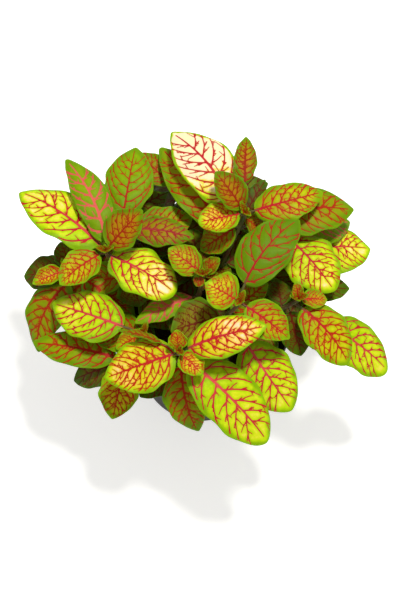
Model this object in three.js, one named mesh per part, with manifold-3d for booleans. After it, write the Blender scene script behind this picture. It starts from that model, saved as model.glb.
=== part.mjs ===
// A nerve plant in a plain nursery pot: the pot, its soil and one solid for each leafy shoot.
// Millimetres, +Z up. The origin is the centre of the pot's flat base, which stands on z = 0.
import * as THREE from "three";
import { mergeVertices } from "three/addons/utils/BufferGeometryUtils.js";
import Module from "manifold-3d";

const wasm = await Module();
wasm.setup();

// ---- pot ----
const POT_HEIGHT = 78;
const POT_TOP_RADIUS = 45;
const POT_BASE_RADIUS = 32;
const POT_WALL = 1.5;
const POT_FLOOR = 2;
const RIM_HEIGHT = 9;
const RIM_STEP = 1.4;
const LIP_ROUND = 0.7;
const DRAIN_HOLES = 8;
const DRAIN_HOLE_RADIUS = 3.5;
const DRAIN_RING_RADIUS = 21;
const DRAIN_SIDES = 12;
const FOOT_ROUND = 1;
const POT_SIDES = 40;

// ---- soil ----
const SOIL_TOP = 66;
const SOIL_MOUND = 2;
const SOIL_LUMP = 0.5;
const SOIL_LUMPS_PER_MM = [0.6, 0.5];
const SOIL_RINGS = [0.95, 0.75, 0.5, 0.25];
const SOIL_SIDES = 30;
const SEAT_GAP = 0.3;

// ---- stems ----
const STEM_RADIUS = 1.3;
const STEM_SIDES = 6;
const STEM_STEPS = 8;
const STEM_FOOT = SOIL_TOP - 12;
const STEM_UPRIGHT = 88;
const STEM_OUT = 0.75;
const STEM_RISE = 16;
const STEM_OVER_RIM = POT_HEIGHT + 16;

// ---- leaves ----
const BLADE_THICKNESS = 0.75;
const STALK_THICKNESS = 1.4;
const STALK_WIDTH = 1.6;
const STALK_SHARE = 0.12;
const STALK_MERGE = 0.15;
const BLADE_SHOULDER = 0.52;
const BLADE_TAPER = 0.64;
const WAVE_COUNT = 2.5;
const WAVE_CALM_TIP = 4;
const OLD_LEAF = { arch: 0.1, cup: -0.14, wave: 0.8 };
const YOUNG_LEAF = { arch: 0.05, cup: 0.15, wave: 0.4 };
const LARGE_LEAF = 20;
const OLD_LENGTH = 34;
const SMALL_LEAF = 14;
const ROWS_LARGE = [0, 0.12, 0.3, 0.52, 0.74, 0.9];
const ROWS_MEDIUM = [0, 0.16, 0.42, 0.7, 0.9];
const ROWS_SMALL = [0, 0.45];
const BUD_LENGTH = 7;
const BUD_WIDTH = 3.2;
const BUD_LIFT = 1.2;
const BUD_TURN = 2.1;
const BUD_STALK = 0.05;
const BUD_CUP = 0.5;

// ---- low shoots ----
const LOW_PAIRS = 2;
const LOW_PLACE = 0.96;
const LOW_PAIR_STEP = 0.3;
const LOW_SWAY = 0.5;
const LOW_LENGTHS = [0.9, 1.1];
const LOW_DROOPS = [0.1, 0.35];
const LOW_WIDTHS = [0.5, 0.58];
const LOW_SEED = 11;

// ---- room between leaves of different shoots ----
const CLEARANCE = 0.7;
const GIVE_STEP = 1.5;
const GIVE_STEPS = 10;
const GIVE_SLIDES = [0, -0.06, 0.06, -0.12, 0.12, -0.18];

// ---- finishes ----
const POT_ROUGHNESS = 0.45;
const SOIL_ROUGHNESS = 0.95;
const LEAF_ROUGHNESS = 0.4;
const POT_COLOUR = 0x141414;
const SOIL_COLOUR = 0x2b2018;
const LEAF_COLOUR = 0xa3c235;
const LOW_COLOUR = 0x4d7a27;

// Each shoot: where its stem leaves the soil, where it ends, and its leaves. A leaf is the place on
// the stem that it grows from (0 at the foot, 1 at the top), its tip, its width, and what is special.
const SHOOTS = {
  west: {
    root: [-20, 6], top: [-45, 18, 112],
    leaves: [
      [1.0, [-27, 33, 126], 19, { cup: 0.25 }],
      [1.0, [-66, 2, 110], 17, { cup: 0.15, bend: -0.03 }],
      [0.84, [-88, 52, 106], 26, { roll: 10, bend: -0.02, arch: 0.12, stalk: 0.16 }],
      [0.95, [-12, -1, 106], 22, { wave: 1.5, roll: -10, stalk: 0.05 }],
      [0.92, [-65, 66, 114], 17, { bend: -0.06 }],
      [0.62, [-29, -2, 92], 18, {}],
    ],
  },
  far_west: {
    root: [-28, -2], top: [-65, 17, 92],
    leaves: [
      [0.95, [-87, 18, 84], 18, {}],
      [1.0, [-81, 9, 94], 10, { cup: 0.5 }],
      [0.84, [-80, -17, 70], 20, { bend: -0.12 }],
      [0.9, [-69, 33, 90], 12, {}],
      [0.85, [-32, -4, 84], 17, {}],
    ],
  },
  south_west: {
    root: [-16, -18], top: [-27, -18, 98],
    leaves: [
      [1.0, [-71, 0, 92], 25, { bend: 0.03, stalk: 0.2 }],
      [1.0, [-40, -24, 93], 10, {}],
    ],
  },
  low_south_west: {
    root: [-24, -23], top: [-35, -27, 84],
    leaves: [
      [1.0, [-81, -16, 80], 18, {}],
      [0.9, [-62, -31, 70], 18, {}],
      [1.0, [-42, -54, 78], 19, {}],
    ],
  },
  south: {
    root: [-8, -22], top: [-10, -32, 112],
    leaves: [
      [1.0, [-11, -24, 119], 9, { cup: 0.4 }],
      [1.0, [1, -43, 113], 12, { cup: 0.3 }],
      [0.95, [-44, -42, 104], 26, { bend: 0.03, stalk: 0.05 }],
      [0.95, [30, -23, 120], 18, {}],
      [0.85, [31, -67, 84], 28, { bend: 0.02 }],
      [0.97, [-38, -22, 113], 8, { roll: 50, stalk: 0.3 }],
      [0.6, [-1, -58, 72], 20, { bend: -0.08 }],
    ],
  },
  centre: {
    root: [6, -8], top: [18, -11, 120],
    leaves: [
      [1.0, [2, -3, 124], 19, { cup: 0.2 }],
      [1.0, [41, -25, 110], 18, {}],
      [0.9, [46, 29, 122], 24, { stalk: 0.2, bend: 0.08 }],
      [0.6, [-14, -17, 98], 24, {}],
      [0.6, [43, -51, 82], 27, { stalk: 0.3, bend: -0.02 }],
      [0.6, [32, 5, 104], 12, {}],
    ],
  },
  middle: {
    root: [-2, 4], top: [1, 6, 112],
    leaves: [
      [1.0, [-15, 17, 118], 15, { cup: 0.2 }],
      [1.0, [9, 12, 118], 8, { cup: 0.4 }],
      [1.0, [8, 6, 114], 4, {}],
      [1.0, [-2, 1, 110], 6, {}],
      [0.5, [-31, -12, 96], 12, {}],
      [0.7, [-4, 38, 98], 18, {}],
    ],
  },
  north: {
    root: [6, 16], top: [21, 35, 118],
    leaves: [
      [1.0, [-1, 30, 118], 16, {}],
      [1.0, [58, 45, 120], 20, { bend: -0.03 }],
      [1.0, [7, 51, 130], 15, { cup: 0.3 }],
      [0.95, [30, 30, 108], 10, {}],
      [0.85, [-14, 81, 114], 27, { stalk: 0.18, bend: -0.06 }],
      [0.65, [-20, 79, 102], 22, { wave: 1.2 }],
      [0.95, [22, 75, 120], 11, { stalk: 0.4 }],
      [0.9, [31, 54, 116], 9, {}],
      [0.8, [74, 43, 106], 26, { stalk: 0.25, bend: 0.04 }],
      [0.85, [0, 24, 100], 16, {}],
    ],
  },
  north_east: {
    root: [22, 14], top: [40, 32, 102],
    leaves: [
      [1.0, [74, 44, 90], 22, {}],
      [1.0, [64, 3, 100], 26, {}],
      [0.6, [84, 31, 86], 28, { stalk: 0.4, roll: -10 }],
    ],
  },
  east: {
    root: [24, -6], top: [46, -4, 106],
    leaves: [
      [1.0, [44, 1, 115], 6, { cup: 0.4 }],
      [1.0, [60, -2, 101], 10, {}],
      [0.9, [70, -30, 88], 22, { bend: 0.05 }],
      [0.8, [48, -25, 86], 12, {}],
      [0.6, [91, -28, 72], 24, { stalk: 0.4, bend: 0.06 }],
      [0.7, [37, 11, 94], 12, {}],
    ],
  },
  north_west: {
    root: [-14, 18], top: [-38, 35, 104],
    leaves: [
      [1.0, [-32, 78, 104], 24, {}],
      [0.95, [-3, 29, 104], 16, {}],
      [0.85, [-4, 43, 96], 19, {}],
    ],
  },
  back: {
    root: [-4, 28], top: [-13, 60, 98],
    leaves: [
      [0.95, [-32, 77, 104], 15, {}],
      [0.8, [-18, 55, 88], 14, {}],
      [0.9, [-23, 68, 88], 12, {}],
    ],
  },
};

// Low shoots round the pot's edge, under the others: root, top and the turn of their first pair.
const LOW_SHOOTS = {
  low_west: { root: [-36, 8], top: [-52, 24, 78], turn: 70, reach: 28 },
  low_north_west: { root: [-24, 24], top: [-40, 50, 82], turn: 40, reach: 32 },
  low_north: { root: [6, 34], top: [4, 56, 86], turn: 10, reach: 32 },
  low_north_east: { root: [20, 25], top: [42, 44, 80], turn: 45, reach: 30 },
  low_east: { root: [34, 4], top: [52, 12, 80], turn: 100, reach: 28 },
};

// ---- joining ----

// A geometry as a solid: only its places count, and vertices that lie together are one.
function solid(geometry) {
  geometry.deleteAttribute("normal");
  geometry.deleteAttribute("uv");
  const merged = mergeVertices(geometry, 1e-4);
  return new wasm.Manifold(new wasm.Mesh({
    numProp: 3,
    vertProperties: new Float32Array(merged.attributes.position.array),
    triVerts: new Uint32Array(merged.index.array),
  }));
}

// The outer skin alone: a hollow that joining has sealed is filled, and a loose scrap is dropped.
function outerSkin(body) {
  return body.decompose().reduce((most, shell) => (shell.volume() > most.volume() ? shell : most));
}

function geometryOf(body) {
  const mesh = body.getMesh();
  const geometry = new THREE.BufferGeometry();
  geometry.setAttribute("position", new THREE.BufferAttribute(mesh.vertProperties, 3));
  geometry.setIndex(new THREE.BufferAttribute(mesh.triVerts, 1));
  geometry.computeVertexNormals();
  return geometry;
}

// ---- pot and soil ----

function turned(outline, sides) {
  const geometry = new THREE.LatheGeometry(outline.map(([r, z]) => new THREE.Vector2(r, z)), sides);
  return geometry.rotateX(Math.PI / 2);
}

function wallRadius(z) {
  return POT_BASE_RADIUS + (POT_TOP_RADIUS - RIM_STEP - POT_BASE_RADIUS) * z / POT_HEIGHT;
}

function potSolid() {
  const rimFoot = POT_HEIGHT - RIM_HEIGHT;
  let pot = solid(turned([
    [0, 0],
    [POT_BASE_RADIUS - FOOT_ROUND, 0],
    [POT_BASE_RADIUS, FOOT_ROUND],
    [wallRadius(rimFoot), rimFoot],
    [POT_TOP_RADIUS, rimFoot + RIM_STEP],
    [POT_TOP_RADIUS, POT_HEIGHT - LIP_ROUND],
    [POT_TOP_RADIUS - LIP_ROUND, POT_HEIGHT],
    [wallRadius(POT_HEIGHT) - POT_WALL + LIP_ROUND, POT_HEIGHT],
    [wallRadius(POT_HEIGHT) - POT_WALL, POT_HEIGHT - LIP_ROUND],
    [wallRadius(POT_FLOOR) - POT_WALL, POT_FLOOR],
    [0, POT_FLOOR],
  ], POT_SIDES));
  for (let i = 0; i < DRAIN_HOLES; i += 1) {
    const angle = 2 * Math.PI * i / DRAIN_HOLES;
    const depth = 4 * POT_FLOOR;
    const hole = new THREE.CylinderGeometry(DRAIN_HOLE_RADIUS, DRAIN_HOLE_RADIUS, depth, DRAIN_SIDES);
    hole.rotateX(Math.PI / 2);
    hole.translate(DRAIN_RING_RADIUS * Math.cos(angle), DRAIN_RING_RADIUS * Math.sin(angle), 0);
    pot = pot.subtract(solid(hole));
  }
  return pot;
}

function soilSolid() {
  const foot = POT_FLOOR + SEAT_GAP;
  const radius = (z) => wallRadius(z) - POT_WALL - SEAT_GAP;
  const plug = turned([
    [0, foot],
    [radius(foot), foot],
    [radius(SOIL_TOP), SOIL_TOP],
    ...SOIL_RINGS.map((ring) => [radius(SOIL_TOP) * ring, SOIL_TOP + SOIL_MOUND * (1 - ring * ring)]),
    [0, SOIL_TOP + SOIL_MOUND],
  ], SOIL_SIDES);
  const places = plug.attributes.position;
  const [lumpsX, lumpsY] = SOIL_LUMPS_PER_MM;
  for (let i = 0; i < places.count; i += 1) {
    const point = new THREE.Vector3().fromBufferAttribute(places, i);
    if (point.z > SOIL_TOP) {
      places.setZ(i, point.z + SOIL_LUMP * Math.sin(point.x * lumpsX) * Math.cos(point.y * lumpsY));
    }
  }
  return solid(plug);
}

// ---- stems ----

// A stem rises straight out of the soil, bends outwards over the rim and lifts or hangs to its tip.
function stemPath(shoot) {
  const [x, y] = shoot.root;
  const top = new THREE.Vector3(...shoot.top);
  const bend = Math.max(top.z - STEM_RISE, STEM_OVER_RIM);
  return new THREE.CubicBezierCurve3(
    new THREE.Vector3(x, y, STEM_FOOT),
    new THREE.Vector3(x, y, STEM_UPRIGHT),
    new THREE.Vector3(x + (top.x - x) * STEM_OUT, y + (top.y - y) * STEM_OUT, bend),
    top,
  );
}

function stemGeometry(shoot, radius) {
  const section = new THREE.Shape();
  for (let i = 0; i < STEM_SIDES; i += 1) {
    const angle = 2 * Math.PI * i / STEM_SIDES;
    const point = [radius * Math.cos(angle), radius * Math.sin(angle)];
    if (i === 0) {
      section.moveTo(...point);
    } else {
      section.lineTo(...point);
    }
  }
  return new THREE.ExtrudeGeometry(section, { steps: STEM_STEPS, extrudePath: stemPath(shoot) });
}

// ---- leaves ----

function leafFrame(leaf) {
  const along = leaf.tip.clone().sub(leaf.base);
  const length = along.length();
  along.normalize();
  const side = new THREE.Vector3(0, 0, 1).cross(along).normalize();
  const up = along.clone().cross(side);
  const roll = THREE.MathUtils.degToRad(leaf.roll);
  side.applyAxisAngle(along, roll);
  up.applyAxisAngle(along, roll);
  return { along, side, up, length };
}

// The blade widens from the stalk, is widest near two fifths of its length and ends in a blunt point.
function halfWidth(leaf, q) {
  const widest = BLADE_SHOULDER / (BLADE_SHOULDER + BLADE_TAPER);
  const most = widest ** BLADE_SHOULDER * (1 - widest) ** BLADE_TAPER;
  const blade = q ** BLADE_SHOULDER * (1 - q) ** BLADE_TAPER / most;
  return Math.max(leaf.width / 2 * blade, STALK_WIDTH / 2 * (1 - q));
}

function leafPoint(leaf, frame, s, v, layer) {
  const q = Math.max(0, (s - leaf.stalk) / (1 - leaf.stalk));
  const half = halfWidth(leaf, q);
  const thick = THREE.MathUtils.lerp(STALK_THICKNESS, BLADE_THICKNESS, Math.min(1, q / STALK_MERGE));
  const ripple = Math.sin(2 * Math.PI * WAVE_COUNT * q + 2 * v) * Math.min(1, WAVE_CALM_TIP * (1 - q));
  const wave = q > 0 ? leaf.wave * Math.abs(v) ** 3 * ripple : 0;
  const bow = 4 * s * (1 - s) * frame.length;
  const rise = leaf.arch * bow + leaf.cup * half * v * v + wave + layer * (thick + leaf.fat) / 2;
  return leaf.base.clone()
    .addScaledVector(frame.along, frame.length * s)
    .addScaledVector(frame.side, half * v + leaf.bend * bow)
    .addScaledVector(frame.up, rise);
}

// The same grid above and below, split into triangles alike, with a rim round it and a cap at its foot.
function leafGeometry(leaf, fromBlade) {
  const frame = leafFrame(leaf);
  const large = leaf.width >= LARGE_LEAF;
  const small = frame.length < SMALL_LEAF;
  const bladeRows = large ? ROWS_LARGE : small ? ROWS_SMALL : ROWS_MEDIUM;
  const rows = bladeRows.map((q) => leaf.stalk + (1 - leaf.stalk) * q);
  if (fromBlade) {
    rows.shift();
  } else {
    rows.unshift(0);
  }
  const columns = large ? 4 : 2;
  const points = [];
  for (const layer of [1, -1]) {
    for (const s of rows) {
      for (let j = 0; j <= columns; j += 1) {
        points.push(leafPoint(leaf, frame, s, 2 * j / columns - 1, layer));
      }
    }
    points.push(leafPoint(leaf, frame, 1, 0, layer));
  }
  const wide = columns + 1;
  const layerSize = rows.length * wide + 1;
  const index = [];
  const triangle = (a, b, c) => {
    index.push(a, b, c);
    index.push(c + layerSize, b + layerSize, a + layerSize);
  };
  const wall = (a, b) => index.push(a, a + layerSize, b, b, a + layerSize, b + layerSize);
  const tip = layerSize - 1;
  for (let i = 0; i + 1 < rows.length; i += 1) {
    for (let j = 0; j < columns; j += 1) {
      const a = i * wide + j;
      triangle(a, a + wide, a + wide + 1);
      triangle(a, a + wide + 1, a + 1);
    }
    wall(i * wide, (i + 1) * wide);
    wall((i + 1) * wide + columns, i * wide + columns);
  }
  const last = (rows.length - 1) * wide;
  for (let j = 0; j < columns; j += 1) {
    triangle(last + j, tip, last + j + 1);
    wall(j + 1, j);
  }
  wall(last, tip);
  wall(tip, last + columns);
  const geometry = new THREE.BufferGeometry();
  const places = points.flatMap((point) => point.toArray());
  geometry.setAttribute("position", new THREE.Float32BufferAttribute(places, 3));
  geometry.setIndex(index);
  return geometry;
}

// ---- placing ----

function leafAt(shoot, [place, tip, width, more]) {
  const leaf = { base: stemPath(shoot).getPoint(place), tip: new THREE.Vector3(...tip), place, width };
  const habit = leaf.tip.distanceTo(leaf.base) >= OLD_LENGTH ? OLD_LEAF : YOUNG_LEAF;
  return { ...leaf, roll: 0, bend: 0, stalk: STALK_SHARE, fat: 0, ...habit, ...more };
}

// Two bud leaves stand at the end of each shoot, turned on from shoot to shoot.
function budLeaves(shoot, number) {
  return [0, Math.PI].map((turn) => {
    const angle = number * BUD_TURN + turn;
    const out = new THREE.Vector3(Math.cos(angle), Math.sin(angle), BUD_LIFT).setLength(BUD_LENGTH);
    const tip = new THREE.Vector3(...shoot.top).add(out);
    return leafAt(shoot, [1, tip.toArray(), BUD_WIDTH, { stalk: BUD_STALK, cup: BUD_CUP, wave: 0 }]);
  });
}

// A low shoot bears crossed pairs of drooping leaves, each a little unlike the others.
function lowLeaves(shoot, draw) {
  const between = ([low, high]) => THREE.MathUtils.lerp(low, high, draw());
  const leaves = [];
  for (let pair = 0; pair < LOW_PAIRS; pair += 1) {
    const place = LOW_PLACE - LOW_PAIR_STEP * pair;
    const base = stemPath(shoot).getPoint(place);
    for (const turn of [0, Math.PI]) {
      const sway = LOW_SWAY * (draw() - 0.5);
      const angle = THREE.MathUtils.degToRad(shoot.turn) + pair * Math.PI / 2 + turn + sway;
      const length = shoot.reach * between(LOW_LENGTHS);
      const droop = length * between(LOW_DROOPS);
      const width = length * between(LOW_WIDTHS);
      const reach = new THREE.Vector3(length * Math.cos(angle), length * Math.sin(angle), -droop);
      leaves.push(leafAt(shoot, [place, base.clone().add(reach).toArray(), width, {}]));
    }
  }
  return leaves;
}

function piece(geometry) {
  geometry.computeBoundingBox();
  return { box: geometry.boundingBox.clone(), body: solid(geometry) };
}

function crosses(one, others) {
  const near = others.filter((other) => one.box.intersectsBox(other.box));
  return near.some((other) => !one.body.intersect(other.body).isEmpty());
}

// The ways in which a leaf may give: its tip drops or lifts in steps, then it slides along its stem.
function ways(shoot, leaf) {
  const list = [];
  for (const slide of GIVE_SLIDES.filter((share) => leaf.place + share <= 1)) {
    const place = leaf.place + slide;
    const base = stemPath(shoot).getPoint(place);
    for (let k = 0; k <= GIVE_STEPS; k += 1) {
      for (const lift of k === 0 ? [0] : [-k * GIVE_STEP, k * GIVE_STEP]) {
        const tip = leaf.tip.clone().setZ(leaf.tip.z + lift);
        list.push({ ...leaf, place, base, tip });
      }
    }
  }
  return list;
}

// The leaves are set from the highest down, and one that would cross what is there already gives way.
function settled(shoots, pot) {
  const stems = Object.entries(shoots).map(([name, shoot]) => (
    { name, ...piece(stemGeometry(shoot, STEM_RADIUS + SEAT_GAP)) }
  ));
  const waiting = Object.entries(shoots).flatMap(([name, shoot]) => (
    shoot.leaves.map((leaf) => ({ name, shoot, leaf }))
  ));
  waiting.sort((a, b) => (b.leaf.tip.z + b.leaf.base.z) - (a.leaf.tip.z + a.leaf.base.z));
  stems.forEach((stem, i) => {
    const crossed = [pot, ...stems.slice(i + 1)].find((other) => crosses(stem, [other]));
    if (crossed) {
      throw new Error(`the stem of ${stem.name} crosses ${crossed.name}`);
    }
  });
  const placed = [];
  for (const { name, shoot, leaf } of waiting) {
    const others = [pot, ...stems, ...placed].filter((other) => other.name !== name);
    const own = placed.filter((other) => other.name === name).map((other) => other.blade);
    const clear = (way) => !crosses(piece(leafGeometry({ ...way, fat: CLEARANCE }, false)), others)
      && !crosses(piece(leafGeometry(way, true)), own);
    const kept = ways(shoot, leaf).find(clear);
    if (kept) {
      placed.push({ name, ...piece(leafGeometry(kept, false)), blade: piece(leafGeometry(kept, true)) });
    } else if (!shoot.reach) {
      throw new Error(`no room for a leaf of ${name} at ${leaf.tip.toArray()}`);
    }
  }
  return placed;
}

// ---- the plant ----

function seededDraw(seed) {
  let state = seed;
  return () => {
    state = (state * 16807) % 2147483647;
    return state / 2147483647;
  };
}

function allShoots() {
  const draw = seededDraw(LOW_SEED);
  const shoots = {};
  Object.entries(SHOOTS).forEach(([name, shoot], number) => {
    const leaves = shoot.leaves.map((row) => leafAt(shoot, row));
    shoots[name] = { ...shoot, colour: LEAF_COLOUR, leaves: [...leaves, ...budLeaves(shoot, number)] };
  });
  Object.entries(LOW_SHOOTS).forEach(([name, shoot], number) => {
    const leaves = lowLeaves(shoot, draw);
    shoots[name] = { ...shoot, colour: LOW_COLOUR, leaves: [...leaves, ...budLeaves(shoot, number)] };
  });
  return shoots;
}

const shoots = allShoots();
const pot = potSolid();
const placed = settled(shoots, { name: "pot", ...piece(geometryOf(pot)) });
const plant = new THREE.Group();

function add(name, body, color, roughness) {
  const finish = new THREE.MeshStandardMaterial({ color, roughness, metalness: 0 });
  const mesh = new THREE.Mesh(geometryOf(body), finish);
  mesh.name = name;
  plant.add(mesh);
}

add("pot", pot, POT_COLOUR, POT_ROUGHNESS);
const stemHoles = Object.values(shoots).map((shoot) => solid(stemGeometry(shoot, STEM_RADIUS + SEAT_GAP)));
const soil = stemHoles.reduce((rest, hole) => rest.subtract(hole), soilSolid());
add("soil", soil, SOIL_COLOUR, SOIL_ROUGHNESS);
for (const [name, shoot] of Object.entries(shoots)) {
  const leaves = placed.filter((entry) => entry.name === name).map((entry) => entry.body);
  const fused = leaves.reduce((rest, leaf) => rest.add(leaf), solid(stemGeometry(shoot, STEM_RADIUS)));
  add(`shoot_${name}`, outerSkin(fused), shoot.colour, LEAF_ROUGHNESS);
}

export default plant;
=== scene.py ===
import math
import random

import bmesh
import bpy
import numpy as np
from mathutils import Matrix, Vector, noise
from mathutils.kdtree import KDTree


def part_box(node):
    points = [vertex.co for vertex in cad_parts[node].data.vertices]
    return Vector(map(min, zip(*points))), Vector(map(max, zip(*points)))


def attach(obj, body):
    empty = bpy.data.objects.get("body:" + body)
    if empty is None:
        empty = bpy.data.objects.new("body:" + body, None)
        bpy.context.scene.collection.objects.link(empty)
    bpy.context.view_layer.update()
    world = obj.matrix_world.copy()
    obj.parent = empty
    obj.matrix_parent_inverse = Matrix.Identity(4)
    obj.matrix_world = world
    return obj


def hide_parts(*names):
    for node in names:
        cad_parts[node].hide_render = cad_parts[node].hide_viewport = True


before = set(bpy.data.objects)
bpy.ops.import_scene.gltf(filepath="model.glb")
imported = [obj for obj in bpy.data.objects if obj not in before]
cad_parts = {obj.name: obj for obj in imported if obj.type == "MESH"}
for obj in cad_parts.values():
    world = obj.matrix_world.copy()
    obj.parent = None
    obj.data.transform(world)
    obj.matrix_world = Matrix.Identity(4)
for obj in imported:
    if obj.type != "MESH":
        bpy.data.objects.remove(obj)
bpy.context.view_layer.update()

mm = 0.001  # the tables below are in millimetres
touching = {"leaf": 0.002, "turned": 0.01}  # points closer than this become one
upright = np.array([0.0, 0.0, 1.0])


# a nerve plant seen from above: each shoot has a root in the soil, a top, and its leaves.
# a leaf is (place on the stem, tip, width, look, what is special about it); without a look it is dark,
# painted as a leaf in shade
shoots = {
    "west": {"root": (-20, 6), "top": (-45, 18, 112), "leaves": [
        (1, (-27, 33, 126), 19, "bronze", {"cup": 0.25, "point": 0.9}),
        (1, (-66, 2, 110), 17, "netted", {"cup": 0.15, "bend": -0.03}),
        (0.84, (-88, 52, 106), 26, "bright",
         {"roll": 10, "bend": -0.02, "arch": 0.12, "stalk": 0.16, "glow": 0.88}),
        (0.95, (-12, -1, 106), 22, "pale",
         {"wave": 1.5, "roll": -10, "stalk": 0.05, "point": 0.5, "broad": 1.12}),
        (0.92, (-65, 66, 114), 17, "pinkVeined", {"bend": -0.06}),
        (0.62, (-29, -2, 92), 18),
    ]},
    "far_west": {"root": (-28, -2), "top": (-65, 17, 92), "leaves": [
        (0.95, (-87, 18, 84), 18),
        (1, (-81, 9, 94), 10, "golden", {"cup": 0.5}),
        (0.84, (-80, -17, 70), 20, "green", {"bend": -0.12}),
        (0.9, (-69, 33, 90), 12),
        (0.85, (-32, -4, 84), 17, "green"),
    ]},
    "south_west": {"root": (-16, -18), "top": (-27, -18, 98), "leaves": [
        (1, (-71, 0, 92), 25, "bright", {"bend": 0.03, "stalk": 0.2, "glow": 0.86}),
        (1, (-40, -24, 93), 10, "netted"),
    ]},
    "low_south_west": {"root": (-24, -23), "top": (-35, -27, 84), "leaves": [
        (1, (-81, -16, 80), 18, "green"),
        (0.9, (-62, -31, 70), 18),
        (1, (-42, -54, 78), 19, "netted"),
    ]},
    "south": {"root": (-8, -22), "top": (-10, -32, 112), "leaves": [
        (1, (-11, -24, 119), 9, "golden", {"cup": 0.4}),
        (1, (1, -43, 113), 12, "golden", {"cup": 0.3}),
        (0.95, (-44, -42, 104), 26, "golden", {"bend": 0.03, "stalk": 0.05}),
        (0.95, (30, -23, 120), 18, "peach", {"broad": 1.1}),
        (0.85, (31, -67, 84), 28, "lime", {"bend": 0.02, "point": 0.6}),
        (0.97, (-38, -22, 113), 8, "bronze", {"roll": 50, "stalk": 0.3}),
        (0.6, (-1, -58, 72), 20, "green", {"bend": -0.08}),
    ]},
    "centre": {"root": (6, -8), "top": (18, -11, 120), "leaves": [
        (1, (2, -3, 124), 19, "netted", {"cup": 0.2, "point": 1}),
        (1, (41, -25, 110), 18, "flame", {"point": 1}),
        (0.9, (46, 29, 122), 24, "glossy", {"stalk": 0.2, "bend": 0.08}),
        (0.6, (-14, -17, 98), 24, "shaded"),
        (0.6, (43, -51, 82), 27, "lime", {"stalk": 0.3, "bend": -0.02, "point": 0.68}),
        (0.6, (32, 5, 104), 12, "green"),
    ]},
    "middle": {"root": (-2, 4), "top": (1, 6, 112), "leaves": [
        (1, (-15, 17, 118), 15, "flame", {"cup": 0.2}),
        (1, (9, 12, 118), 8, "bronze", {"cup": 0.4}),
        (1, (8, 6, 114), 4, "bronze"),
        (1, (-2, 1, 110), 6, "bronze"),
        (0.5, (-31, -12, 96), 12, "pinkVeined"),
        (0.7, (-4, 38, 98), 18),
    ]},
    "north": {"root": (6, 16), "top": (21, 35, 118), "leaves": [
        (1, (-1, 30, 118), 16, "golden", {"point": 0.6}),
        (1, (58, 45, 120), 20, "netted", {"bend": -0.03, "glow": 0.84}),
        (1, (7, 51, 130), 15, "bronze", {"cup": 0.3}),
        (0.95, (30, 30, 108), 10, "bronze"),
        (0.85, (-14, 81, 114), 27, "cream", {"stalk": 0.18, "bend": -0.06}),
        (0.65, (-20, 79, 102), 22, "green", {"wave": 1.2}),
        (0.95, (22, 75, 120), 11, "bronze", {"stalk": 0.4}),
        (0.9, (31, 54, 116), 9),
        (0.8, (74, 43, 106), 26, "green", {"stalk": 0.25, "bend": 0.04}),
        (0.85, (0, 24, 100), 16, "green"),
    ]},
    "north_east": {"root": (22, 14), "top": (40, 32, 102), "leaves": [
        (1, (74, 44, 90), 22, "pinkVeined"),
        (1, (64, 3, 100), 26, "bright", {"point": 0.64, "glow": 0.94}),
        (0.6, (84, 31, 86), 28, "bright", {"stalk": 0.4, "roll": -10}),
    ]},
    "east": {"root": (24, -6), "top": (46, -4, 106), "leaves": [
        (1, (44, 1, 115), 6, "golden", {"cup": 0.4}),
        (1, (60, -2, 101), 10, "flame"),
        (0.9, (70, -30, 88), 22, "netted", {"bend": 0.05, "point": 0.7}),
        (0.8, (48, -25, 86), 12, "darkInShade", {"broad": 1.3}),
        (0.6, (91, -28, 72), 24, "lime", {"stalk": 0.4, "bend": 0.06, "point": 0.58, "glow": 0.86}),
        (0.7, (37, 11, 94), 12),
    ]},
    "north_west": {"root": (-14, 18), "top": (-38, 35, 104), "leaves": [
        (1, (-32, 78, 104), 24, "striped"),
        (0.95, (-3, 29, 104), 16, "dusky", {"point": 1}),
        (0.85, (-4, 43, 96), 19, "green"),
    ]},
    "back": {"root": (-4, 28), "top": (-13, 60, 98), "leaves": [
        (0.95, (-32, 77, 104), 15, "green"),
        (0.8, (-18, 55, 88), 14),
        (0.9, (-23, 68, 88), 12),
    ]},
}

lowShoots = {  # round the pot's edge, under the others
    "low_west": {"root": (-36, 8), "top": (-52, 24, 78), "turn": 70, "reach": 28},
    "low_north_west": {"root": (-24, 24), "top": (-40, 50, 82), "turn": 40, "reach": 32},
    "low_north": {"root": (6, 34), "top": (4, 56, 86), "turn": 10, "reach": 32},
    "low_north_east": {"root": (20, 25), "top": (42, 44, 80), "turn": 45, "reach": 30},
    "low_east": {"root": (34, 4), "top": (52, 12, 80), "turn": 100, "reach": 28},
}

lowHabit = {
    "seed": 11, "pairs": 2, "place": 0.96, "pairStep": 0.3, "sway": 0.5,
    "lengths": (0.9, 1.1), "droops": (0.1, 0.35), "widths": (0.5, 0.58), "look": "old",
    "factor": 16807, "modulus": 2147483647,
}

tipHabit = {  # at each stem's tip: two bud leaves, and a smaller pair between them
    "turn": 2.1, "look": "bud", "special": {"stalk": 0.05, "cup": 0.5, "wave": 0},
    "buds": {"length": 7, "width": 3.2, "lift": 1.2, "turns": (0, math.pi)},
    "hearts": {"length": 4.2, "width": 2.2, "lift": 1.6, "turns": (0.5 * math.pi, 1.5 * math.pi)},
}
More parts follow.
